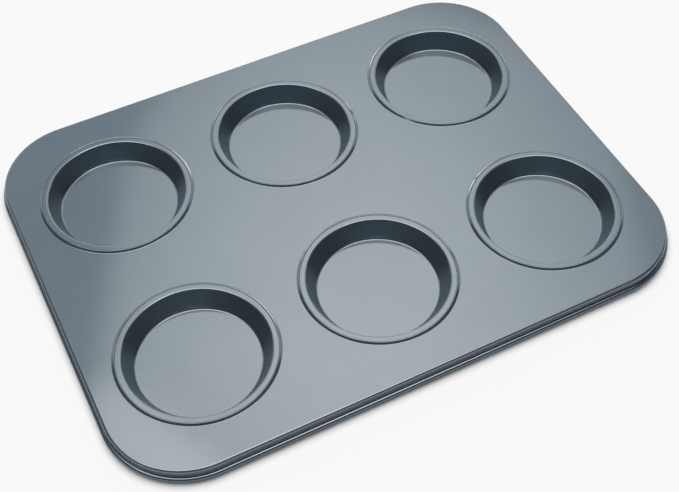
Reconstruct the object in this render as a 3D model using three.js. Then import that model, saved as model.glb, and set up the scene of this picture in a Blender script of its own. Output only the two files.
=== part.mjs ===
// A muffin top pan: a pressed steel deck with a wired rim, and six shallow drawn cups seated in it.
// Millimetres, +Z up, +X along the pan, +Y towards its rear. The origin is on the table under its middle.

import * as THREE from 'three';

const { degToRad } = THREE.MathUtils;

// Sheet steel
const SHEET = 0.5;
const SEAM_GAP = 0.2;

// Cups, measured on the faces that the batter touches
const CUP_COLUMNS = ['left', 'middle', 'right'];
const CUP_ROWS = ['front', 'rear'];
const CUP_PITCH_X = 121.3;
const CUP_PITCH_Y = 139.0;
const CUP_DEPTH = 11.6;
const FLOOR_RADIUS = 38.9;
const MOUTH_RADIUS = 45.2;
const FLANGE_RADIUS = 48.6;
const FLOOR_FILLET = 1.5;
const MOUTH_ROLL = 1.4;

// Deck and skirt
const SKIRT_LENGTH = 377.4;
const SKIRT_WIDTH = 288.0;
const SKIRT_CORNER = 50.5;
const EDGE_RADIUS = 1.6;
const COLLAR_GAP = 0.3;
const COLLAR_BEND = 1.0;
const COLLAR_LENGTH = 2.2;

// Seat in the deck under each flange, and the ridge round it
const SEAT_RISE = 0.15;
const SEAT_FILLET = 0.1;
const RIDGE_RADIUS = 49.15;
const RIDGE_RISE = 1.0;
const RIDGE_ROLL = 0.3;
const RIDGE_FOOT = 1.5;
const RIDGE_INNER_SLOPE = degToRad(86);
const RIDGE_OUTER_SLOPE = degToRad(36);

// Rolled rim and the wire inside it
const BEAD_RADIUS = 1.75;
const BEAD_SETOUT = 0.3;
const BEAD_DROP = 7.9;
const BEAD_LEAD = degToRad(40);
const CURL_TURN = degToRad(321);
const WIRE_RADIUS = 1.0;

// Facets
const ROUND_STEPS = 28;
const CORNER_STEPS = 8;
const FILLET_STEPS = 2;
const RIDGE_STEPS = 3;
const FOOT_STEPS = 1;
const EDGE_STEPS = 3;
const LEAD_STEPS = 1;
const CURL_STEPS = 11;
const WIRE_SIDES = 8;

// Finishes
const COAT = { color: 0x7c8187, roughness: 0.25, metalness: 0.9 };
const WIRE_STEEL = { color: 0xb4b6b8, roughness: 0.45, metalness: 1.0 };

// Levels and slopes that follow from the dimensions above
const DECK_TOP = CUP_DEPTH + SHEET;
const FLANGE_RISE = SEAT_RISE + SEAM_GAP + SHEET;
const WALL_RUN = MOUTH_RADIUS - FLOOR_RADIUS;
const WALL_RISE = CUP_DEPTH + FLANGE_RISE;
const WALL_SLOPE = Math.atan2(WALL_RISE, WALL_RUN);
const BEAD_LEVEL = DECK_TOP - BEAD_DROP;

// One face of a bent sheet, drawn across the sheet as straight runs and round bends.
class SheetFace {
  constructor(out, up, heading) {
    this.point = new THREE.Vector2(out, up);
    this.heading = heading;
    this.stops = [];
    this.mark();
  }

  left() {
    return new THREE.Vector2(-Math.sin(this.heading), Math.cos(this.heading));
  }

  mark(far = this.point.clone().addScaledVector(this.left(), -SHEET)) {
    this.stops.push({ near: this.point.clone(), far });
  }

  run(length) {
    const ahead = new THREE.Vector2(Math.cos(this.heading), Math.sin(this.heading));
    this.point.addScaledVector(ahead, length);
    this.mark();
    return this;
  }

  // A positive turn bends to the left, and the far face lies to the right. Inside a right-hand bend that is
  // tighter than the sheet is thick, the far face has a sharp corner.
  bend(radius, turn, steps) {
    const reach = Math.sign(turn) * radius;
    const centre = this.point.clone().addScaledVector(this.left(), reach);
    let corner;
    if (turn < 0 && radius < SHEET) {
      const middle = this.heading + turn / 2;
      const inward = new THREE.Vector2(Math.sin(middle), -Math.cos(middle));
      corner = centre.clone().addScaledVector(inward, (SHEET - radius) / Math.cos(turn / 2));
      this.stops.at(-1).far = corner;
    }
    for (let step = 0; step < steps; step += 1) {
      this.heading += turn / steps;
      this.point = centre.clone().addScaledVector(this.left(), -reach);
      this.mark(corner);
    }
    return this;
  }

  near() {
    return this.stops.map((stop) => stop.near);
  }

  far() {
    const points = this.stops.map((stop) => stop.far);
    return points.filter((point, index) => point !== points[index - 1]);
  }
}

// The length that a round bend takes from each of the two straight runs that it joins.
function bendTangent(radius, turn) {
  return radius * Math.tan(turn / 2);
}

// Rings of points and the bands of faces between them, gathered into one closed skin.
class Skin {
  constructor() {
    this.points = [];
    this.faces = [];
  }

  ring(points) {
    const first = this.points.length;
    this.points.push(...points);
    return points.map((_, index) => first + index);
  }

  band(from, to) {
    for (let index = 0; index < from.length; index += 1) {
      const next = (index + 1) % from.length;
      this.faces.push(from[index], to[index], to[next]);
      this.faces.push(from[index], to[next], from[next]);
    }
  }

  bands(rings) {
    rings.slice(1).forEach((ring, index) => this.band(rings[index], ring));
  }

  // A flat cover with holes, facing up or down.
  cover(outline, holes, facing) {
    const loops = [outline, ...holes];
    const flat = loops.map((loop) => loop.map((index) => this.points[index]));
    const corners = loops.flat();
    for (const face of THREE.ShapeUtils.triangulateShape(flat[0], flat.slice(1))) {
      const [a, b, c] = face.map((corner) => corners[corner]);
      const turn = new THREE.Triangle(this.points[a], this.points[b], this.points[c]);
      const upward = turn.getNormal(new THREE.Vector3()).z > 0;
      this.faces.push(a, ...(upward === facing > 0 ? [b, c] : [c, b]));
    }
  }

  geometry() {
    const geometry = new THREE.BufferGeometry().setFromPoints(this.points);
    geometry.setIndex(this.faces);
    return geometry;
  }
}

// The pan's outline, set out from the skirt's face, at one level.
function outlineRing(setOut, level) {
  const points = [];
  const reachX = SKIRT_LENGTH / 2 - SKIRT_CORNER;
  const reachY = SKIRT_WIDTH / 2 - SKIRT_CORNER;
  const radius = SKIRT_CORNER + setOut;
  const cornerSides = [[1, 1], [-1, 1], [-1, -1], [1, -1]];
  cornerSides.forEach(([sideX, sideY], corner) => {
    for (let step = 0; step <= CORNER_STEPS; step += 1) {
      const angle = (corner + step / CORNER_STEPS) * Math.PI / 2;
      const x = sideX * reachX + radius * Math.cos(angle);
      const y = sideY * reachY + radius * Math.sin(angle);
      points.push(new THREE.Vector3(x, y, level));
    }
  });
  return points;
}

// A hole's edge, running clockwise, with its corners in line with the facets of the cup in it.
function holeRing(centre, radius, level) {
  return Array.from({ length: ROUND_STEPS }, (_, step) => {
    const angle = -Math.PI / 2 - step / ROUND_STEPS * 2 * Math.PI;
    return new THREE.Vector3(
      centre.x + radius * Math.cos(angle),
      centre.y + radius * Math.sin(angle),
      level,
    );
  });
}

// The middles of the cups, by name.
function cupPlaces() {
  const places = [];
  CUP_ROWS.forEach((rowName, row) => {
    CUP_COLUMNS.forEach((columnName, column) => {
      const x = (column - (CUP_COLUMNS.length - 1) / 2) * CUP_PITCH_X;
      const y = (row - (CUP_ROWS.length - 1) / 2) * CUP_PITCH_Y;
      places.push({ name: `cup_${rowName}_${columnName}`, x, y });
    });
  });
  return places;
}

// The deck's edge: rounded over, down the skirt, then led inwards and curled out round the wire.
function rimFace() {
  const curlRadius = BEAD_RADIUS - SHEET;
  const leadRadius = (curlRadius * Math.cos(BEAD_LEAD) - BEAD_SETOUT) / (1 - Math.cos(BEAD_LEAD));
  const leadLevel = BEAD_LEVEL + (curlRadius + leadRadius) * Math.sin(BEAD_LEAD);
  return new SheetFace(-EDGE_RADIUS, DECK_TOP, 0)
    .bend(EDGE_RADIUS, -Math.PI / 2, EDGE_STEPS)
    .run(DECK_TOP - EDGE_RADIUS - leadLevel)
    .bend(leadRadius, -BEAD_LEAD, LEAD_STEPS)
    .bend(curlRadius, CURL_TURN, CURL_STEPS);
}

// The run on a slope that is left when the bends at its ends have taken their share of the rise.
function slopeRun(rise, slope, ...bendRadii) {
  const bends = bendRadii.reduce((sum, radius) => sum + radius * (1 - Math.cos(slope)), 0);
  return (rise - bends) / Math.sin(slope);
}

// A hole's edge: up beside the cup's wall with a small gap to it, flat under the flange, then over the ridge.
function holeFace() {
  const seatLevel = DECK_TOP + SEAT_RISE;
  const clearOfWall = (SHEET + COLLAR_GAP) / Math.sin(WALL_SLOPE);
  const edgeRadius = MOUTH_RADIUS - (FLANGE_RISE - SEAT_RISE) / Math.tan(WALL_SLOPE) + clearOfWall;
  const foot = bendTangent(COLLAR_BEND, WALL_SLOPE) + COLLAR_LENGTH;
  const footRadius = edgeRadius - foot * Math.cos(WALL_SLOPE);
  const innerRun = slopeRun(RIDGE_RISE - SEAT_RISE, RIDGE_INNER_SLOPE, SEAT_FILLET, RIDGE_ROLL);
  const outerRun = slopeRun(RIDGE_RISE, RIDGE_OUTER_SLOPE, RIDGE_ROLL, RIDGE_FOOT);
  const innerReach = (SEAT_FILLET + RIDGE_ROLL) * Math.sin(RIDGE_INNER_SLOPE)
    + innerRun * Math.cos(RIDGE_INNER_SLOPE);
  const face = new SheetFace(footRadius, seatLevel - foot * Math.sin(WALL_SLOPE), WALL_SLOPE)
    .run(COLLAR_LENGTH)
    .bend(COLLAR_BEND, -WALL_SLOPE, FILLET_STEPS);
  return face
    .run(RIDGE_RADIUS - innerReach - face.point.x)
    .bend(SEAT_FILLET, RIDGE_INNER_SLOPE, FOOT_STEPS)
    .run(innerRun)
    .bend(RIDGE_ROLL, -RIDGE_INNER_SLOPE - RIDGE_OUTER_SLOPE, RIDGE_STEPS)
    .run(outerRun)
    .bend(RIDGE_FOOT, RIDGE_OUTER_SLOPE, FOOT_STEPS);
}

// The deck: one sheet from the collars of its holes to the curled rim.
function deckGeometry() {
  const skin = new Skin();
  const rim = rimFace();
  const rimLine = [...rim.near(), ...rim.far().reverse()];
  const rimRings = rimLine.map((point) => skin.ring(outlineRing(point.x, point.y)));
  skin.bands(rimRings);

  const hole = holeFace();
  const holeLine = [...hole.near().reverse(), ...hole.far()];
  const holes = cupPlaces().map((centre) => {
    const rings = holeLine.map((point) => skin.ring(holeRing(centre, point.x, point.y)));
    skin.bands(rings);
    return rings;
  });

  skin.cover(rimRings[0], holes.map((rings) => rings[0]), 1);
  skin.cover(rimRings.at(-1), holes.map((rings) => rings.at(-1)), -1);
  return skin.geometry();
}

// A cup: flat floor, sloping wall, rolled mouth, and a flat flange that lies in its seat in the deck.
function cupGeometry() {
  const floorTangent = bendTangent(FLOOR_FILLET, WALL_SLOPE);
  const mouthTangent = bendTangent(MOUTH_ROLL, WALL_SLOPE);
  const wallLength = Math.hypot(WALL_RUN, WALL_RISE);
  const face = new SheetFace(0, SHEET, 0)
    .run(FLOOR_RADIUS - floorTangent)
    .bend(FLOOR_FILLET, WALL_SLOPE, FILLET_STEPS)
    .run(wallLength - floorTangent - mouthTangent)
    .bend(MOUTH_ROLL, -WALL_SLOPE, FILLET_STEPS)
    .run(FLANGE_RADIUS - MOUTH_RADIUS - mouthTangent);
  const profile = [...face.far(), ...face.near().reverse()];
  return new THREE.LatheGeometry(profile, ROUND_STEPS).rotateX(Math.PI / 2);
}

// The rim's wire: a closed loop that lies in the middle of the bead.
function wireGeometry() {
  const skin = new Skin();
  const rings = Array.from({ length: WIRE_SIDES }, (_, side) => {
    const angle = -side / WIRE_SIDES * 2 * Math.PI;
    const setOut = BEAD_SETOUT + WIRE_RADIUS * Math.cos(angle);
    return skin.ring(outlineRing(setOut, BEAD_LEVEL + WIRE_RADIUS * Math.sin(angle)));
  });
  skin.bands([...rings, rings[0]]);
  return skin.geometry();
}

function namedMesh(name, geometry, finish) {
  const mesh = new THREE.Mesh(geometry, new THREE.MeshStandardMaterial(finish));
  mesh.name = name;
  return mesh;
}

const pan = new THREE.Group();
pan.add(namedMesh('deck_sheet', deckGeometry(), COAT));
for (const place of cupPlaces()) {
  const cup = namedMesh(place.name, cupGeometry(), COAT);
  cup.position.set(place.x, place.y, 0);
  pan.add(cup);
}
pan.add(namedMesh('rim_wire', wireGeometry(), WIRE_STEEL));

export default pan;
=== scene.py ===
# %% [markdown]
# # A muffin top pan in coated steel
# The pan is a pressed deck with a wired rim, and shallow drawn cups seated in its holes. Every piece
# is thin bent sheet. So each sheet is drawn once, in section, as straight runs and round bends, and that
# section is turned round a cup's middle or swept along the rim to give a smooth closed mesh.

# %% Load the frame
import math
from dataclasses import dataclass

import bpy
from mathutils import Matrix, Vector
from mathutils.geometry import delaunay_2d_cdt


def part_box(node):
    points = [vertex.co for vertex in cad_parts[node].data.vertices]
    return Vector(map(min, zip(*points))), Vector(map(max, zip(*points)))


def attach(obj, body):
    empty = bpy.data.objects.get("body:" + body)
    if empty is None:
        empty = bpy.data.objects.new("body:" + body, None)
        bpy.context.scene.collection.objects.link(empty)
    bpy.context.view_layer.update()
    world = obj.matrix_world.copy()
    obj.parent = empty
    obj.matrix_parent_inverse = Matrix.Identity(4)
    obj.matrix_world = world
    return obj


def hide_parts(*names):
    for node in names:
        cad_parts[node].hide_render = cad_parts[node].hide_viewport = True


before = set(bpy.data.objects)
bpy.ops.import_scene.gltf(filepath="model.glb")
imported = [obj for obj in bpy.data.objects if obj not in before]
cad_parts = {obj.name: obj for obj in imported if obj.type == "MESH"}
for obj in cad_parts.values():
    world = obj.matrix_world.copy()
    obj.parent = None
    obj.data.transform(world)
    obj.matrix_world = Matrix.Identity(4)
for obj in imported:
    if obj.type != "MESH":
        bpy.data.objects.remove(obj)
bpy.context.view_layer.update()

CUP_NODES = sorted(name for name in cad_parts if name.startswith("cup_"))
print("cups in the frame:", ", ".join(CUP_NODES))

# %% [markdown]
# ## Sizes
# The frame gives the levels and the places of the cups. The bends are too small to read from a box, so
# they are named here, in millimetres turned to metres. They are the bends of the steel itself. Two things are
# tighter than in the frame: the flange's edge is settled closer to its ridge, and the ridge has a sharper
# foot. On the real pan that seam is pressed tight and shows only as a thin dark line.

# %% Sizes of the sheet, the cups and the rim
MM = 0.001
SHEET = 0.5 * MM
SEAT_RISE = 0.15 * MM
SEAM_GAP = 0.2 * MM

deck_low, deck_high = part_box("deck_sheet")
cup_low, cup_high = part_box(CUP_NODES[0])
TABLE_LEVEL = cup_low.z
FLANGE_TOP = cup_high.z
DECK_TOP = FLANGE_TOP - SHEET - SEAM_GAP - SEAT_RISE
FLANGE_SETTLE = 0.08 * MM
FLANGE_RADIUS = (cup_high.y - cup_low.y) / 2 + FLANGE_SETTLE

FLOOR_TOP = TABLE_LEVEL + SHEET
FLOOR_RADIUS = 38.9 * MM
MOUTH_RADIUS = 45.2 * MM
FLOOR_FILLET = 1.5 * MM
MOUTH_ROLL = 1.4 * MM
FLANGE_ROUND = 0.05 * MM
WALL_RUN = MOUTH_RADIUS - FLOOR_RADIUS
WALL_RISE = FLANGE_TOP - FLOOR_TOP
WALL_SLOPE = math.atan2(WALL_RISE, WALL_RUN)

EDGE_RADIUS = 1.6 * MM
BEAD_RADIUS = 1.75 * MM
BEAD_SETOUT = 0.3 * MM
BEAD_LEVEL = deck_low.z + BEAD_RADIUS
BEAD_LEAD = math.radians(40)
CURL_TURN = math.radians(321)
WIRE_RADIUS = 1.0 * MM
SKIRT_CORNER = 50.5 * MM
SKIRT_REACH_X = deck_high.x - BEAD_RADIUS - BEAD_SETOUT
SKIRT_REACH_Y = deck_high.y - BEAD_RADIUS - BEAD_SETOUT

COLLAR_GAP = 0.3 * MM
COLLAR_BEND = 1.0 * MM
COLLAR_LENGTH = 2.2 * MM
SEAT_FILLET = 0.1 * MM
RIDGE_RADIUS = 49.15 * MM
RIDGE_RISE = 1.0 * MM
RIDGE_ROLL = 0.3 * MM
RIDGE_FOOT = 0.8 * MM
RIDGE_INNER_SLOPE = math.radians(86)
RIDGE_OUTER_SLOPE = math.radians(36)

print(f"deck top {DECK_TOP / MM:.2f} mm, wall {math.degrees(WALL_SLOPE):.1f} degrees from the floor")

# %% [markdown]
# ## Drawing a bent sheet
# A press brake bends sheet by runs and bends, and a pen can draw the same way: go straight, turn by an angle
# on a radius, go straight again. The pen remembers its heading at each stop, so the exact direction that the
# surface faces is known there. That gives clean reflections, which matter more than anything on a coated pan.


# %% The section pen
@dataclass
class Stop:
    out: float
    up: float
    heading: float
    # How pale the coat is here: partly a thinner film, partly a painted highlight on edges.
    thin_film_and_sheen: float = 0.0
    drawn: float = 0.0
    corner: tuple = None

    def facing(self):
        return -math.sin(self.heading), math.cos(self.heading)

    def behind(self):
        side, rise = self.facing()
        return self.corner or (self.out - SHEET * side, self.up - SHEET * rise)


class SheetLine:
    """One face of a bent sheet, with the other face one thickness to its right."""

    def __init__(self, out, up, heading):
        self.out = out
        self.up = up
        self.heading = heading
        self.stops = []
        self.mark()

    def mark(self, thin_film_and_sheen=0.0, drawn=0.0, corner=None):
        self.stops.append(Stop(self.out, self.up, self.heading, thin_film_and_sheen, drawn, corner))

    def run(self, length, steps=1, drawn=0.0):
        for _ in range(steps):
            self.out += math.cos(self.heading) * length / steps
            self.up += math.sin(self.heading) * length / steps
            self.mark(drawn=drawn)
        return self

    def bend(self, radius, turn, steps):
        """Turns left, or right if turn is negative; a tight right bend has a sharp corner behind it."""
        reach = math.copysign(radius, turn)
        middle_out = self.out - reach * math.sin(self.heading)
        middle_up = self.up + reach * math.cos(self.heading)
        corner = None
        if turn < 0 and radius < SHEET:
            halfway = self.heading + turn / 2
            depth = (SHEET - radius) / math.cos(turn / 2)
            corner = (middle_out + depth * math.sin(halfway), middle_up - depth * math.cos(halfway))
            self.stops[-1].corner = corner
        for step in range(1, steps + 1):
            self.heading += turn / steps
            self.out = middle_out + reach * math.sin(self.heading)
            self.up = middle_up - reach * math.cos(self.heading)
            # Bends that stretch this face get a paler coat: partly a thinner film, partly a painted
            # highlight.
            bend_film_and_sheen = math.sin(math.pi * step / steps) if turn < 0 else 0.0
            self.mark(bend_film_and_sheen, corner=corner)
        return self


def bend_tangent(radius, turn):
    return radius * math.tan(turn / 2)


def slope_run(rise, slope, *bend_radii):
    """The straight run left on a slope when the bends at its ends have taken their share of the rise."""
    bends = sum(radius * (1 - math.cos(slope)) for radius in bend_radii)
    return (rise - bends) / math.sin(slope)


def square_edge(line):
    """The plain cut across the sheet at the end of a line."""
    return SheetLine(line.out, line.up, line.heading - math.pi / 2).run(SHEET)


# %% [markdown]
# ## From a section to a skin
# A track is a closed row of stations, each with a place and an outward direction: a circle for a cup, the
# rounded outline for the rim. Carrying the section along the track makes rings of points. Faces between the
# rings carry their own corner normals, so the bends shade smoothly and the cut edges of the sheet stay crisp.


# %% Tracks and skins
def round_track(centre, count):
    stations = []
    for step in range(count):
        angle = 2 * math.pi * step / count
        stations.append((centre, Vector((math.cos(angle), math.sin(angle), 0))))
    return stations


CORNER_STEPS = 32
SIDE_PITCH = 12 * MM


def outline_track():
    """The skirt's outline, running anticlockwise from the front of the right-hand rear corner."""
    stations = []
    middle_x = SKIRT_REACH_X - SKIRT_CORNER
    middle_y = SKIRT_REACH_Y - SKIRT_CORNER
    sides = [(1, 1, middle_x), (-1, 1, middle_y), (-1, -1, middle_x), (1, -1, middle_y)]
    for corner, (side_x, side_y, half_run) in enumerate(sides):
        middle = Vector((side_x * middle_x, side_y * middle_y, 0))
        for step in range(CORNER_STEPS + 1):
            angle = (corner + step / CORNER_STEPS) * math.pi / 2
            outward = Vector((math.cos(angle), math.sin(angle), 0))
            stations.append((middle + outward * SKIRT_CORNER, outward))
        along = Vector((-outward.y, outward.x, 0))
        pieces = math.ceil(2 * half_run / SIDE_PITCH)
        for step in range(1, pieces):
            stations.append((middle + outward * SKIRT_CORNER + along * 2 * half_run * step / pieces, outward))
    return stations


UPWARD, DOWNWARD = 1, -1
# Cut edges are made fully pale: a thinner film and a painted highlight.
FULL_THIN_FILM_AND_SHEEN = 1.0


class Skin:
    """Points, faces and a normal for each face corner, gathered into one mesh."""

    def __init__(self):
        self.points = []
        self.thin_film_and_sheen = []
        self.drawn = []
        self.faces = []
        self.normals = []

    def ring(self, track, out, up, thin_film_and_sheen=0.0, drawn=0.0):
        first = len(self.points)
        for place, outward in track:
            self.points.append(place + outward * out + Vector((0, 0, up)))
            self.thin_film_and_sheen.append(thin_film_and_sheen)
            self.drawn.append(drawn)
        return list(range(first, len(self.points)))

    def face(self, corners, normals):
        self.faces.append(corners)
        self.normals.extend(normals)

    def band(self, track, start, end, start_facing, end_facing):
        """A strip from one ring to the next; facing is how far its normals point out and up."""
        for index in range(len(track)):
            after = (index + 1) % len(track)
            corners = [start[index], end[index], end[after], start[after]]
            facings = [start_facing, end_facing, end_facing, start_facing]
            outwards = [track[index][1], track[index][1], track[after][1], track[after][1]]
            normals = [out * side + Vector((0, 0, rise)) for out, (side, rise) in zip(outwards, facings)]
            self.face(corners, normals)

    def sheet(self, track, line):
        """Both faces of a bent sheet; gives the near and far rings, in the order they were drawn."""
        near = [self.ring(track, stop.out, stop.up, stop.thin_film_and_sheen, stop.drawn) for stop in line.stops]
        far = []
        for before, stop in zip([None, *line.stops], line.stops):
            sharp = before and stop.corner and before.corner == stop.corner
            far.append(far[-1] if sharp else self.ring(track, *stop.behind()))
        for here, there in zip(range(len(near)), range(1, len(near))):
            front, back = line.stops[here].facing(), line.stops[there].facing()
            self.band(track, near[here], near[there], front, back)
            if far[here] != far[there]:
                rear_front, rear_back = [(-side, -rise) for side, rise in (front, back)]
                self.band(track, far[there], far[here], rear_back, rear_front)
        return near, far

    def cut_edge(self, track, start, end, line):
        """The edge of the sheet, from the ring where one face ends to the ring where the other does."""
        # These rings get the full paler coat, which is partly a painted highlight along the cut edge.
        between = [self.ring(track, stop.out, stop.up, FULL_THIN_FILM_AND_SHEEN) for stop in line.stops[1:-1]]
        rings = [start, *between, end]
        for here, there in zip(range(len(rings)), range(1, len(rings))):
            self.band(track, rings[here], rings[there], line.stops[here].facing(), line.stops[there].facing())

    def flat(self, corners, rise):
        self.face(corners, [Vector((0, 0, rise))] * len(corners))

    def piece(self, title, node, slot, material):
        """Makes the mesh, puts it in the scene, and hides the frame's part that it stands for."""
        mesh = bpy.data.meshes.new(title)
        mesh.from_pydata(self.points, [], self.faces)
        mesh.shade_smooth()
        mesh.normals_split_custom_set([normal.normalized() for normal in self.normals])
        for name, values in (("thin_film_and_sheen", self.thin_film_and_sheen), ("drawn", self.drawn)):
            mesh.attributes.new(name, "FLOAT", "POINT").data.foreach_set("value", values)
        mesh.materials.append(material)
        piece = bpy.data.objects.new(title, mesh)
        bpy.context.scene.collection.objects.link(piece)
        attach(piece, "root")
        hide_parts(node)
        print(f"{title}: {len(mesh.vertices)} points, {len(mesh.polygons)} faces")


# %% [markdown]
# ## Shader arithmetic
# Node trees are easier to read as formulas. Value wraps one output socket, and the usual operators on it add
# Math nodes. Every other node comes from Graph.node, which sets the node up first and then fills its sockets.


# %% A small language for shaders
class Value:
    """An output socket that can be added to, multiplied and so on."""

    def __init__(self, graph, socket):
        self.graph = graph
        self.socket = socket

    def math(self, operation, *values):
        return self.graph.node("ShaderNodeMath", {"operation": operation}, dict(enumerate(values)))

    def __add__(self, other):
        return self.math("ADD", self, other)

    def __radd__(self, other):
        return self.math("ADD", other, self)

    def __sub__(self, other):
        return self.math("SUBTRACT", self, other)

    def __rsub__(self, other):
        return self.math("SUBTRACT", other, self)

    def __mul__(self, other):
        return self.math("MULTIPLY", self, other)

    def __rmul__(self, other):
        return self.math("MULTIPLY", other, self)

    def __truediv__(self, other):
        return self.math("DIVIDE", self, other)

    def __rtruediv__(self, other):
        return self.math("DIVIDE", other, self)

    def __abs__(self):
        return self.math("ABSOLUTE", self)

    def at_least(self, other):
        return self.math("MAXIMUM", self, other)


# The Mix node has sockets for every kind of data; these are the places of its colour sockets.
MIX_FIRST, MIX_SECOND, MIX_RESULT = 6, 7, 2


class Graph:
    """A node tree that is filled by name."""

    def __init__(self, tree):
        self.tree = tree
        tree.nodes.clear()

    def node(self, kind, settings=None, inputs=None, output=0):
        node = self.tree.nodes.new(kind)
        for name, setting in (settings or {}).items():
            setattr(node, name, setting)
        for name, value in (inputs or {}).items():
            if isinstance(value, Value):
                self.tree.links.new(value.socket, node.inputs[name])
            else:
                node.inputs[name].default_value = value
        return Value(self, node.outputs[output]) if len(node.outputs) else node

    def smooth(self, value, low, high):
        """0 at low, 1 at high, with soft ends; low may be the larger."""
        ends = {"Value": value, "From Min": low, "From Max": high}
        return self.node("ShaderNodeMapRange", {"interpolation_type": "SMOOTHSTEP"}, ends)

    def dot(self, vector, axis):
        return self.node("ShaderNodeVectorMath", {"operation": "DOT_PRODUCT"}, {0: vector, 1: axis}, "Value")

    def distance(self, first, second):
        ends = self.node("ShaderNodeCombineXYZ", None, {"X": first, "Y": second})
        return self.node("ShaderNodeVectorMath", {"operation": "LENGTH"}, {0: ends}, "Value")

    def mix(self, factor, first, second):
        inputs = {"Factor": factor, MIX_FIRST: first, MIX_SECOND: second}
        return self.node("ShaderNodeMix", {"data_type": "RGBA"}, inputs, MIX_RESULT)

    def noise(self, place, size, detail):
        return self.node("ShaderNodeTexNoise", None, {"Vector": place, "Scale": 1 / size, "Detail": detail})


NOISE_MIDDLE = 0.5


def blank_material(title):
    material = bpy.data.materials.new(title)
    material.use_nodes = True
    return material, Graph(material.node_tree)


# %% [markdown]
# ## The non-stick coat
# The coat is a sprayed resin full of fine metal flake, baked to a smooth gloss. The flake mirrors the studio
# as dark metal does, so the deck looks pale under a lamp and nearly black towards a dark room. The resin
# between the flakes scatters a little blue-grey light, and a metallic value below 1 gives that share. The
# coat is not even: it has clouds from the spray, sparkle from the flake and a faint orange peel. Where the
# sheet was stretched round a bend, and on its cut edges, the colour is paler: partly a thinner film and
# partly a painted highlight along those edges. Where it was drawn, on the cups' walls and the skirt, it is
# duller.
# The pen marks both kinds of place, and the mesh carries the marks to the material.


# %% The coat's material
COAT_DARK = (0.158, 0.190, 0.218, 1)
COAT_PALE = (0.186, 0.222, 0.254, 1)
# The paler coat of stretched bends and cut edges: partly a thinner film, partly a painted highlight.
COAT_THIN_FILM_AND_SHEEN = (0.232, 0.272, 0.306, 1)
COAT_METALLIC = 0.80
COAT_ROUGHNESS = 0.085
DRAWN_ROUGHNESS = 0.22
CLOUD_SIZE = 28 * MM
CLOUD_DETAIL = 3.0
CLOUD_SHARE = 0.6
FLAKE_SIZE = 0.45 * MM
FLAKE_SHARE = 0.4
GRAIN_ROUGHNESS = 0.03
THIN_FILM_AND_SHEEN_SHARE = 0.6
PEEL_SIZE = 1.6 * MM
PEEL_DETAIL = 1.0
PEEL_DEPTH = 0.006 * MM
PEEL_STRENGTH = 0.5


def coat_material():
    material, graph = blank_material("nonstick_coat")
    place = graph.node("ShaderNodeTexCoord", output="Object")
    cloud = graph.noise(place, CLOUD_SIZE, CLOUD_DETAIL)
    peel = graph.noise(place, PEEL_SIZE, PEEL_DETAIL)
    cells = graph.node("ShaderNodeTexVoronoi", None, {"Vector": place, "Scale": 1 / FLAKE_SIZE}, "Color")
    flake = graph.node("ShaderNodeSeparateColor", None, {"Color": cells})
    thin_film_and_sheen = graph.node("ShaderNodeAttribute", {"attribute_name": "thin_film_and_sheen"}, None, "Fac")
    drawn = graph.node("ShaderNodeAttribute", {"attribute_name": "drawn"}, None, "Fac")
    sprayed = graph.mix(CLOUD_SHARE * cloud + FLAKE_SHARE * flake, COAT_DARK, COAT_PALE)
    # Paler where bends were stretched and on cut edges: a thinner film and a painted highlight.
    colour = graph.mix(THIN_FILM_AND_SHEEN_SHARE * thin_film_and_sheen, sprayed, COAT_THIN_FILM_AND_SHEEN)
    grain = cloud + flake - 2 * NOISE_MIDDLE
    roughness = COAT_ROUGHNESS + DRAWN_ROUGHNESS * drawn + GRAIN_ROUGHNESS * grain
    bump = graph.node("ShaderNodeBump", None, {
        "Height": peel,
        "Strength": PEEL_STRENGTH,
        "Distance": PEEL_DEPTH,
    })
    surface = graph.node("ShaderNodeBsdfPrincipled", None, {
        "Base Color": colour,
        "Metallic": COAT_METALLIC,
        "Roughness": roughness,
        "Normal": bump,
    })
    graph.node("ShaderNodeOutputMaterial", None, {"Surface": surface})
    return material


coat = coat_material()
print("made", coat.name)

# %% [markdown]
# ## The rim's wire
# Drawn steel wire is bare and has fine marks from the die, so its shade and its gloss both vary a little. It
# hides in the rolled rim and shows only as a glint in the slit where the curl meets the skirt.


# %% The wire's material
WIRE_DARK = (0.30, 0.31, 0.32, 1)
WIRE_PALE = (0.52, 0.53, 0.54, 1)
WIRE_ROUGHNESS = 0.38
MARK_ROUGHNESS = 0.2
MARK_SIZE = 0.6 * MM
MARK_DETAIL = 4.0


def wire_material():
    material, graph = blank_material("wire_steel")
    place = graph.node("ShaderNodeTexCoord", output="Object")
    marks = graph.noise(place, MARK_SIZE, MARK_DETAIL)
    surface = graph.node("ShaderNodeBsdfPrincipled", None, {
        "Base Color": graph.mix(marks, WIRE_DARK, WIRE_PALE),
        "Metallic": 1.0,
        "Roughness": WIRE_ROUGHNESS + MARK_ROUGHNESS * (marks - NOISE_MIDDLE),
    })
    graph.node("ShaderNodeOutputMaterial", None, {"Surface": surface})
    return material


wire_steel = wire_material()
print("made", wire_steel.name)

# %% [markdown]
# ## The cups
# Each cup is drawn from a disc of steel: a flat floor, a sloping wall, a rolled mouth, and a flat flange that
# lies in a seat in the deck. A turned section gives that exactly. The floor has rings of its own, because one
# huge face would leave nothing for a texture to hold on to, and a small disc closes it in the middle.

# %% Make the cups
ROUND_STEPS = 160
FLOOR_HUB = 3 * MM
FLOOR_RINGS = 8
WALL_RINGS = 6
FLANGE_RINGS = 2
BEND_STEPS = 10
TIGHT_STEPS = 5


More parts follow.
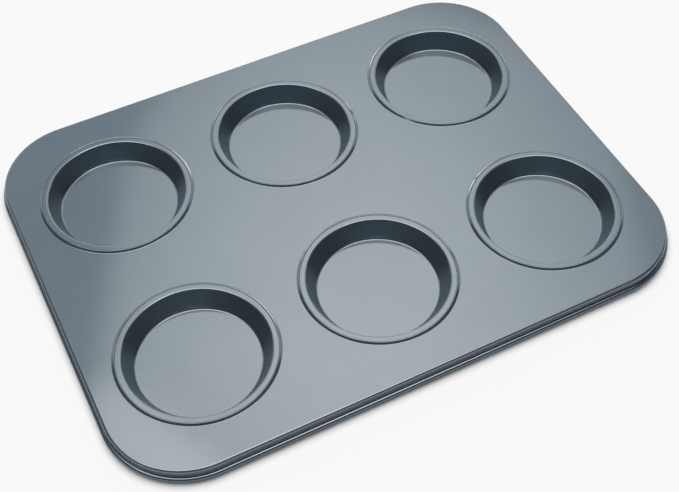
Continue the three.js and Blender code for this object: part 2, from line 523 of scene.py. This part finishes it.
def cup_line():
    floor_tangent = bend_tangent(FLOOR_FILLET, WALL_SLOPE)
    mouth_tangent = bend_tangent(MOUTH_ROLL, WALL_SLOPE)
    wall_length = math.hypot(WALL_RUN, WALL_RISE)
    line = SheetLine(FLOOR_HUB, FLOOR_TOP, 0)
    line.run(FLOOR_RADIUS - floor_tangent - FLOOR_HUB, FLOOR_RINGS)
    line.bend(FLOOR_FILLET, WALL_SLOPE, BEND_STEPS)
    line.run(wall_length - floor_tangent - mouth_tangent, WALL_RINGS, drawn=1.0)
    line.bend(MOUTH_ROLL, -WALL_SLOPE, BEND_STEPS)
    line.run(FLANGE_RADIUS - FLANGE_ROUND - MOUTH_RADIUS - mouth_tangent, FLANGE_RINGS)
    return line


def flange_edge(line):
    """Rounded over by the coat at the top, then square down to the underside."""
    edge = SheetLine(line.out, line.up, line.heading)
    edge.bend(FLANGE_ROUND, -math.pi / 2, TIGHT_STEPS)
    return edge.run(SHEET - FLANGE_ROUND)


def cup_centre(node):
    low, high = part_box(node)
    return Vector(((low.x + high.x) / 2, (low.y + high.y) / 2, 0))


for cup_node in CUP_NODES:
    skin = Skin()
    track = round_track(cup_centre(cup_node), ROUND_STEPS)
    line = cup_line()
    near, far = skin.sheet(track, line)
    rim_ring = skin.ring(track, line.out + FLANGE_ROUND, line.up - SHEET)
    skin.cut_edge(track, near[-1], rim_ring, flange_edge(line))
    skin.band(track, rim_ring, far[-1], (0, DOWNWARD), (0, DOWNWARD))
    skin.flat(near[0], UPWARD)
    skin.flat(far[0][::-1], DOWNWARD)
    skin.piece(f"{cup_node}_skin", cup_node, "nonstick_coat", coat)

# %% [markdown]
# ## The deck
# The deck is one sheet from the collars of its holes to the curl of its rim. The rim and the collars are
# swept like the cups. The flat between them is filled by a triangulation that keeps the outline and the holes
# as edges, and a triangle with all its corners on one hole's ring lies in that hole, so it is left out. Round
# each cup the press raises a ridge with a long outer slope and a steep inner one, and the cup's flange lies
# inside it. That ridge draws the dark line on the near side of every ring.

# %% Make the deck
FILL_PITCH = 9 * MM
CREST_STEPS = 12
SKIRT_RINGS = 2
CURL_STEPS = 44


def rim_line():
    curl_radius = BEAD_RADIUS - SHEET
    lead_radius = (curl_radius * math.cos(BEAD_LEAD) - BEAD_SETOUT) / (1 - math.cos(BEAD_LEAD))
    lead_level = BEAD_LEVEL + (curl_radius + lead_radius) * math.sin(BEAD_LEAD)
    line = SheetLine(-EDGE_RADIUS, DECK_TOP, 0)
    line.bend(EDGE_RADIUS, -math.pi / 2, CREST_STEPS)
    line.run(DECK_TOP - EDGE_RADIUS - lead_level, SKIRT_RINGS, drawn=1.0)
    line.bend(lead_radius, -BEAD_LEAD, BEND_STEPS)
    return line.bend(curl_radius, CURL_TURN, CURL_STEPS)


def hole_line():
    seat_level = DECK_TOP + SEAT_RISE
    clear_of_wall = (SHEET + COLLAR_GAP) / math.sin(WALL_SLOPE)
    edge_radius = MOUTH_RADIUS - (FLANGE_TOP - seat_level) / math.tan(WALL_SLOPE) + clear_of_wall
    foot = bend_tangent(COLLAR_BEND, WALL_SLOPE) + COLLAR_LENGTH
    foot_out = edge_radius - foot * math.cos(WALL_SLOPE)
    inner_run = slope_run(RIDGE_RISE - SEAT_RISE, RIDGE_INNER_SLOPE, SEAT_FILLET, RIDGE_ROLL)
    outer_run = slope_run(RIDGE_RISE, RIDGE_OUTER_SLOPE, RIDGE_ROLL, RIDGE_FOOT)
    inner_bends = (SEAT_FILLET + RIDGE_ROLL) * math.sin(RIDGE_INNER_SLOPE)
    inner_reach = inner_bends + inner_run * math.cos(RIDGE_INNER_SLOPE)
    line = SheetLine(foot_out, seat_level - foot * math.sin(WALL_SLOPE), WALL_SLOPE)
    line.run(COLLAR_LENGTH)
    line.bend(COLLAR_BEND, -WALL_SLOPE, BEND_STEPS)
    line.run(RIDGE_RADIUS - inner_reach - line.out)
    line.bend(SEAT_FILLET, RIDGE_INNER_SLOPE, TIGHT_STEPS)
    line.run(inner_run)
    line.bend(RIDGE_ROLL, -RIDGE_INNER_SLOPE - RIDGE_OUTER_SLOPE, CREST_STEPS)
    line.run(outer_run)
    return line.bend(RIDGE_FOOT, RIDGE_OUTER_SLOPE, BEND_STEPS)


def fill_points(holes, clear_radius):
    """Places on the flat of the deck, well clear of its outline and its holes."""
    rows = round(2 * SKIRT_REACH_Y / FILL_PITCH)
    columns = round(2 * SKIRT_REACH_X / FILL_PITCH)
    places = []
    for row in range(1, rows):
        for column in range(1, columns):
            x = -SKIRT_REACH_X + 2 * SKIRT_REACH_X * column / columns
            y = -SKIRT_REACH_Y + 2 * SKIRT_REACH_Y * row / rows
            over_x = max(0, abs(x) - (SKIRT_REACH_X - SKIRT_CORNER))
            over_y = max(0, abs(y) - (SKIRT_REACH_Y - SKIRT_CORNER))
            inside = math.hypot(over_x, over_y) < SKIRT_CORNER - EDGE_RADIUS - FILL_PITCH / 2
            if inside and all((Vector((x, y, 0)) - hole).length > clear_radius for hole in holes):
                places.append(Vector((x, y, 0)))
    return places


OUTLINE_LOOP = 0
INSIDE_OUTLINE = 1
POINT_MERGE = 1e-7


def closed_edges(first, count):
    return [(first + index, first + (index + 1) % count) for index in range(count)]


def deck_skin():
    skin = Skin()
    outline = outline_track()
    rim = rim_line()
    rim_near, rim_far = skin.sheet(outline, rim)
    skin.cut_edge(outline, rim_near[-1], rim_far[-1], square_edge(rim))

    holes = [cup_centre(node) for node in CUP_NODES]
    collar = hole_line()
    collar_foot = SheetLine(*collar.stops[0].behind(), WALL_SLOPE + math.pi / 2).run(SHEET)
    top_loops = [rim_near[0]]
    bottom_loops = [rim_far[0]]
    for hole in holes:
        track = round_track(hole, ROUND_STEPS)
        near, far = skin.sheet(track, collar)
        skin.cut_edge(track, far[0], near[0], collar_foot)
        top_loops.append(near[-1])
        bottom_loops.append(far[-1])

    edges = []
    loop_places = []
    loop_numbers = []
    for number, loop in enumerate(top_loops):
        edges.extend(closed_edges(len(loop_places), len(loop)))
        loop_places.extend(skin.points[index] for index in loop)
        loop_numbers.extend([number] * len(loop))
    inner = fill_points(holes, collar.out + FILL_PITCH / 2)
    loop_numbers.extend([OUTLINE_LOOP] * len(inner))
    top = sum(top_loops, []) + skin.ring([(place, Vector()) for place in inner], 0, DECK_TOP)
    bottom = sum(bottom_loops, []) + skin.ring([(place, Vector()) for place in inner], 0, DECK_TOP - SHEET)
    flat_places = [place.to_2d() for place in loop_places + inner]
    _, _, faces, sources, _, _ = delaunay_2d_cdt(flat_places, edges, [], INSIDE_OUTLINE, POINT_MERGE)
    for face in faces:
        corners = [sources[corner][0] for corner in face]
        touched = {loop_numbers[corner] for corner in corners}
        if len(touched) > 1 or OUTLINE_LOOP in touched:
            skin.flat([top[corner] for corner in corners], UPWARD)
            skin.flat([bottom[corner] for corner in reversed(corners)], DOWNWARD)
    return skin


deck_skin().piece("deck_sheet_skin", "deck_sheet", "nonstick_coat", coat)

# %% [markdown]
# ## The wire
# The wire is a closed loop in the middle of the bead: a round section carried along the rim's own track.

# %% Make the wire
WIRE_SIDES = 20


def wire_skin():
    skin = Skin()
    track = outline_track()
    angles = [-2 * math.pi * side / WIRE_SIDES for side in range(WIRE_SIDES)]
    facings = [(math.cos(angle), math.sin(angle)) for angle in angles]
    rings = []
    for side, rise in facings:
        rings.append(skin.ring(track, BEAD_SETOUT + WIRE_RADIUS * side, BEAD_LEVEL + WIRE_RADIUS * rise))
    for index in range(WIRE_SIDES):
        after = (index + 1) % WIRE_SIDES
        skin.band(track, rings[index], rings[after], facings[index], facings[after])
    return skin


wire_skin().piece("rim_wire_skin", "rim_wire", "wire_steel", wire_steel)

# %% [markdown]
# ## The table
# A sheet of white paper carries the pan's soft shadow. A catalogue picture is cleared to plain white close
# to the object, and only the shadow at its edge is kept. So the camera sees a white glow added to the paper
# as it leaves the rim, and reflections see it start a little further out. The glow is nothing at the rim, so
# a band of bare paper, greyer than the glow, hugs the pan: a painted shadow over the rendered one, and in
# the skirt's mirror image of the paper a painted shade. The pan gets no more light by that. The paper is a
# wide plane a hair below the cups, so that the two surfaces never share a place.

# %% Make the table
TABLE_SIZE = 40.0
TABLE_CLEARANCE = 0.05 * MM
TABLE_PAPER = (0.72, 0.72, 0.72, 1)
TABLE_GLOW = 0.85
GLOW_STARTS = -1 * MM
GLOW_FULL = 7 * MM
GLOW_LAG = 10 * MM
PLAIN_WHITE = (1, 1, 1, 1)


def past_corner(graph, place, axis, reach):
    """How far a place lies past the start of the rim's corners, along one axis of the pan."""
    return (abs(graph.dot(place, axis)) - (reach - SKIRT_CORNER)).at_least(0)


def table_material():
    material, graph = blank_material("white_paper")
    seen = graph.node("ShaderNodeLightPath", output="Is Camera Ray")
    mirrored = graph.node("ShaderNodeLightPath", output="Is Glossy Ray")
    passed = graph.node("ShaderNodeLightPath", output="Is Transmission Ray")
    in_view = seen.at_least(mirrored).at_least(passed)
    place = graph.node("ShaderNodeTexCoord", output="Object")
    past_x = past_corner(graph, place, (1, 0, 0), SKIRT_REACH_X)
    past_y = past_corner(graph, place, (0, 1, 0), SKIRT_REACH_Y)
    from_rim = graph.distance(past_x, past_y) - SKIRT_CORNER - GLOW_LAG * mirrored
    # The glow is nothing at the rim and starts further out in reflections: the bare paper left there is a
    # painted shadow, and in the skirt a painted shade.
    glow_past_painted_shadow = TABLE_GLOW * graph.smooth(from_rim, GLOW_STARTS, GLOW_FULL)
    paper = graph.node("ShaderNodeBsdfDiffuse", None, {"Color": TABLE_PAPER})
    glow = graph.node("ShaderNodeEmission", None, {"Color": PLAIN_WHITE, "Strength": 1.0})
    surface = graph.node("ShaderNodeMixShader", None, {0: glow_past_painted_shadow * in_view, 1: paper, 2: glow})
    graph.node("ShaderNodeOutputMaterial", None, {"Surface": surface})
    return material


bpy.ops.mesh.primitive_plane_add(size=TABLE_SIZE, location=(0, 0, TABLE_LEVEL - TABLE_CLEARANCE))
table = bpy.context.object
table.name = "table"
table.data.materials.append(table_material())
print("table at", table.location.z)

# %% [markdown]
# ## The camera
# The camera stands where the photograph was taken from, found by fitting the cups' rings and the deck's
# outline. It is given as an eye, a point on the deck that it looks at, and a small roll.

# %% Place the camera
EYE = Vector((-0.2099, -0.4541, DECK_TOP + 0.5901))
AIM = Vector((-0.0107, -0.0369, DECK_TOP))
ROLL = math.radians(-1.22)
LENS = 62.74
SENSOR_WIDTH = 36.0
UP = Vector((0, 0, 1))

camera = bpy.data.objects.new("camera", bpy.data.cameras.new("camera"))
bpy.context.scene.collection.objects.link(camera)
camera.data.sensor_fit = "HORIZONTAL"
camera.data.sensor_width = SENSOR_WIDTH
camera.data.lens = LENS
ahead = (AIM - EYE).normalized()
level = ahead.cross(UP).normalized()
right = Matrix.Rotation(-ROLL, 3, ahead) @ level
turn = Matrix((right, right.cross(ahead), -ahead)).transposed()
camera.matrix_world = Matrix.Translation(EYE) @ turn.to_4x4()
bpy.context.scene.camera = camera
bpy.context.scene.view_settings.view_transform = "Standard"
print(f"camera {(AIM - EYE).length:.3f} m from its aim")

# %% [markdown]
# ## The studio
# A coated pan shows what is around it, so the studio is drawn as a sky. A direction that points up meets a
# ceiling at one unit of height, and the place where it does is measured square to the camera: ahead and
# across. On that ceiling an arched softbox with a bright middle hangs behind the pan, a slanting strip of
# light crosses it, and right overhead is a patch that bounces light down. Low down at the back is a lit wall.
# The camera's side of the room is dark, and the far walls of the cups mirror that.

# %% Light the studio
ROOM_DARK = (0.080, 0.130, 0.160, 1)
ROOM_BACK = (0.786, 0.860, 0.892, 1)
ROOM_BOUND = (0.33, 0.55)
BACK_WALL_GLOW = 2.5
BACK_WALL_TOP = (0.30, 0.12)
BACK_WALL_SIDES = (0.74, 0.95)
LAMP_WARM = (1.15, 1.0, 0.895, 1)
BOUNCE_WARM = (1.07, 1.0, 0.94, 1)
HORIZON = (0.05, 0.15)


@dataclass
class Panel:
    across: float
    ahead: float
    turn: float
    half_width: float
    half_length: float
    soft: float
    strength: float

    def light(self, graph, across, along):
        turn = math.radians(self.turn)
        out_across = across - self.across
        out_along = along - self.ahead
        side = abs(out_across * math.cos(turn) + out_along * math.sin(turn))
        length = abs(out_along * math.cos(turn) - out_across * math.sin(turn))
        within = graph.smooth(side, self.half_width + self.soft, self.half_width - self.soft)
        within = within * graph.smooth(length, self.half_length + self.soft, self.half_length - self.soft)
        return within * self.strength


@dataclass
class ArchedSoftbox:
    across: float
    near: float
    arch: float
    half_width: float
    arch_length: float
    soft: float
    lamp_across: float
    lamp_ahead: float
    lamp_width: float
    lamp_length: float
    strength: float

    def light(self, graph, across, along):
        side = (across - self.across) / self.half_width
        past_arch = (along - self.arch).at_least(0) / self.arch_length
        cloth = graph.smooth(graph.distance(side, past_arch), 1 + self.soft, 1 - self.soft)
        cloth = cloth * graph.smooth(along, self.near - self.soft, self.near + self.soft)
        lamp_side = (across - self.lamp_across) / self.lamp_width
        lamp_along = (along - self.lamp_ahead) / self.lamp_length
        lamp = graph.distance(lamp_side, lamp_along)
        return cloth * graph.smooth(lamp, 1, 0) * self.strength


SOFTBOX = ArchedSoftbox(
    across=0.040, near=0.40, arch=0.88, half_width=0.283, arch_length=0.30, soft=0.045,
    lamp_across=0.02, lamp_ahead=0.51, lamp_width=0.50, lamp_length=1.2, strength=1.45,
)
STRIP = Panel(
    across=0.031, ahead=0.235, turn=48.9, half_width=0.120, half_length=0.46, soft=0.015, strength=0.8,
)
CEILING = Panel(
    across=-0.06, ahead=-0.02, turn=0, half_width=0.56, half_length=0.32, soft=0.08, strength=2.7,
)


def flat_direction(turn):
    """A level direction, turned clockwise from the way that the camera faces."""
    heading = math.atan2(ahead.x, ahead.y) + turn
    return Vector((math.sin(heading), math.cos(heading), 0))


def build_studio():
    world = bpy.data.worlds.new("studio")
    world.use_nodes = True
    bpy.context.scene.world = world
    graph = Graph(world.node_tree)
    direction = graph.node("ShaderNodeTexCoord", output="Generated")
    height = graph.dot(direction, UP)
    forward = graph.dot(direction, flat_direction(0))
    sideways = graph.dot(direction, flat_direction(math.pi / 2))
    ceiling = height.at_least(min(HORIZON))
    across = sideways / ceiling
    along = forward / ceiling
    above = graph.smooth(height, *HORIZON)
    lamps = (SOFTBOX.light(graph, across, along) + STRIP.light(graph, across, along)) * above
    room = graph.mix(graph.smooth(forward, *ROOM_BOUND), ROOM_DARK, ROOM_BACK)
    low_down = graph.smooth(height, *BACK_WALL_TOP)
    back_wall = low_down * graph.smooth(forward, *BACK_WALL_SIDES) * BACK_WALL_GLOW
    room_light = graph.node("ShaderNodeBackground", None, {"Color": room, "Strength": 1.0})
    lamp_light = graph.node("ShaderNodeBackground", None, {"Color": LAMP_WARM, "Strength": lamps})
    bounced = CEILING.light(graph, across, along) * above + back_wall
    bounce_light = graph.node("ShaderNodeBackground", None, {"Color": BOUNCE_WARM, "Strength": bounced})
    lit = graph.node("ShaderNodeAddShader", None, {0: room_light, 1: lamp_light})
    lit = graph.node("ShaderNodeAddShader", None, {0: lit, 1: bounce_light})
    graph.node("ShaderNodeOutputWorld", None, {"Surface": lit})


build_studio()
print(f"softbox {2 * SOFTBOX.half_width:.2f} and strip {2 * STRIP.half_width:.2f} wide, per unit of height")

# %% [markdown]
# ## The end

# %% Close
print("end of the script")
